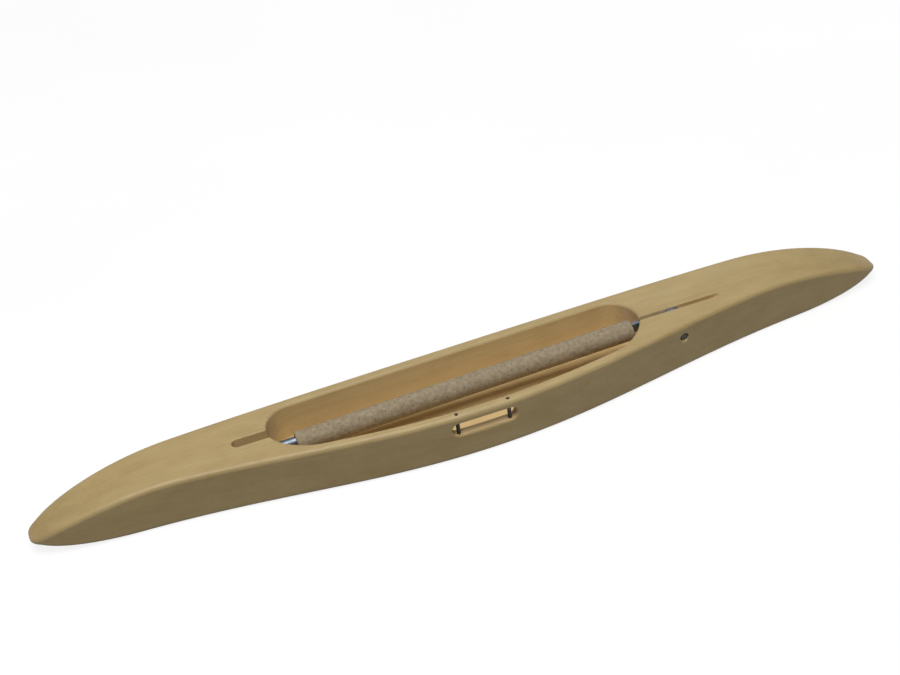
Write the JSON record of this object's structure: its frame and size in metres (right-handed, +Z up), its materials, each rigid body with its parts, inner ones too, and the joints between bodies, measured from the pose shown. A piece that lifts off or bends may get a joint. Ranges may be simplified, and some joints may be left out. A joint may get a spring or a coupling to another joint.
{
  "type": "damask boat shuttle",
  "caption": "Slim wooden boat shuttle with a closed bottom, a straight back, a bellied front with a yarn eye, and a hinged steel spindle that carries a cardboard quill.",
  "frame": {"origin": "on the flat underside, below the middle of the box round the whole shuttle", "axes": "+X along the length towards the nose with the pivot, +Y towards the straight back, +Z up"},
  "size_m": [0.3, 0.0372, 0.0173],
  "materials": {
    "pale_wood": "satin oiled",
    "rod_steel": "polished",
    "plate_steel": "blued",
    "pin_steel": "dark",
    "spring_steel": "satin",
    "cardboard": "pressed cardboard"
  },
  "bodies": {
    "shuttle": {"shuttle_body": "pale_wood", "pivot_pin": "pin_steel", "hub_spring": "spring_steel", "guide_pin_left": "pin_steel", "guide_pin_right": "pin_steel"},
    "spindle": {"spindle_rod": "rod_steel", "pivot_plate": "plate_steel"},
    "quill": {"quill": "cardboard"}
  },
  "joints": [
    {"name": "spindle_pivot", "type": "hinge", "parent": "shuttle", "child": "spindle", "pos_m": [0.07075, 0.00057, 0.0122], "axis": [0.0216, 0.9998, 0], "range_deg": [0, 80]},
    {"name": "quill_spin", "type": "hinge", "parent": "spindle", "child": "quill", "pos_m": [0.0561, 0.00089, 0.01374], "axis": [0.9993, -0.0216, 0.0314], "continuous": true}
  ]
}
